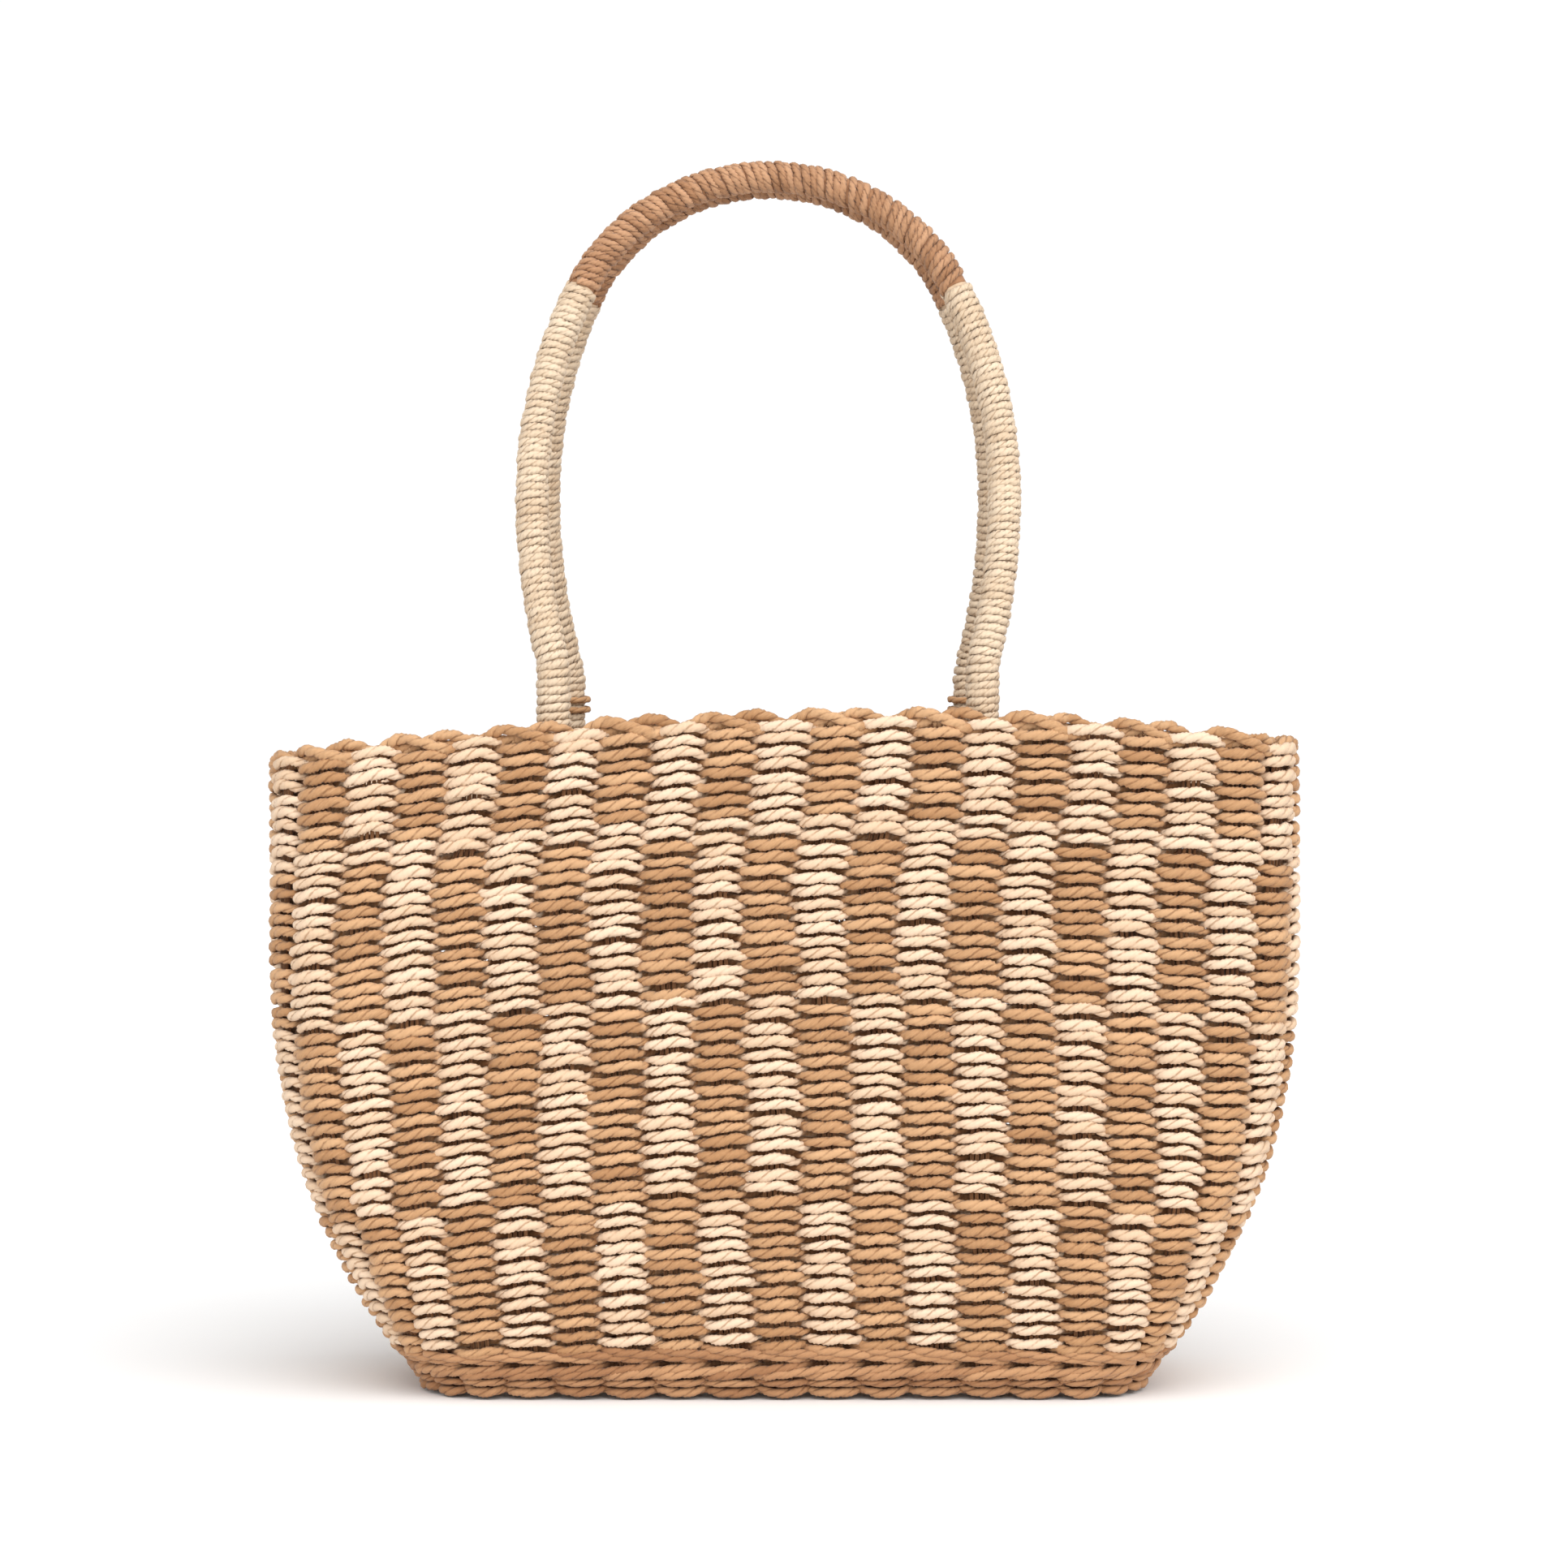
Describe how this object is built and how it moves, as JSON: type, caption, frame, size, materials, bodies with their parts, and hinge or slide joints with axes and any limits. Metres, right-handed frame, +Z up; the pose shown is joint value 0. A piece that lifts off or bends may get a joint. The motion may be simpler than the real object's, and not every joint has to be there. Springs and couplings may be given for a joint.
{
  "type": "woven market basket",
  "caption": "Woven market basket with a flared oval-cornered body in two alternating cord colours, a scalloped rim, and two wrapped arched handles that tilt.",
  "frame": {"origin": "on the table under the middle of the foot", "axes": "+Z up, +X along the width to the right of someone who faces the front, front towards -Y"},
  "size_m": [0.43, 0.152, 0.5196],
  "materials": {
    "tan_cord": "twisted paper cord, matte",
    "cream_cord": "twisted paper cord, matte",
    "grip_wrap": "wound flat cord, matte",
    "stake_cord": "bundled thin cord, matte",
    "core_rope": "rope, hidden"
  },
  "bodies": {
    "root": {"cross_stakes": "stake_cord", "right_end_stakes": "stake_cord", "left_end_stakes": "stake_cord", "floor_under_layer": "tan_cord", "floor_upper_layer": "tan_cord", "foot_border": "tan_cord", "lower_wale": "tan_cord", "upper_wale": "tan_cord", "tier_4_tan_cord": "tan_cord", "tier_4_cream_cord": "cream_cord", "tier_3_tan_cord": "tan_cord", "tier_3_cream_cord": "cream_cord", "tier_2_tan_cord": "tan_cord", "tier_2_cream_cord": "cream_cord", "tier_1_tan_cord": "tan_cord", "tier_1_cream_cord": "cream_cord", "rim_border": "tan_cord", "front_left_tail_core": "core_rope", "front_left_tail_wrap": "cream_cord", "front_left_ties": "tan_cord", "front_right_tail_core": "core_rope", "front_right_tail_wrap": "cream_cord", "front_right_ties": "tan_cord", "back_left_tail_core": "core_rope", "back_left_tail_wrap": "cream_cord", "back_left_ties": "tan_cord", "back_right_tail_core": "core_rope", "back_right_tail_wrap": "cream_cord", "back_right_ties": "tan_cord"},
    "front_handle": {"front_handle_core": "core_rope", "front_grip_wrap": "grip_wrap", "front_left_leg_wrap": "cream_cord", "front_right_leg_wrap": "cream_cord"},
    "back_handle": {"back_handle_core": "core_rope", "back_grip_wrap": "grip_wrap", "back_left_leg_wrap": "cream_cord", "back_right_leg_wrap": "cream_cord"}
  },
  "joints": [
    {"name": "front_handle_tilt", "type": "hinge", "parent": "root", "child": "front_handle", "pos_m": [-0.006, -0.0567, 0.3037], "axis": [1, 0, 0], "range_deg": [0, 85]},
    {"name": "back_handle_tilt", "type": "hinge", "parent": "root", "child": "back_handle", "pos_m": [-0.006, 0.0567, 0.3037], "axis": [-1, 0, 0], "range_deg": [0, 85]}
  ]
}
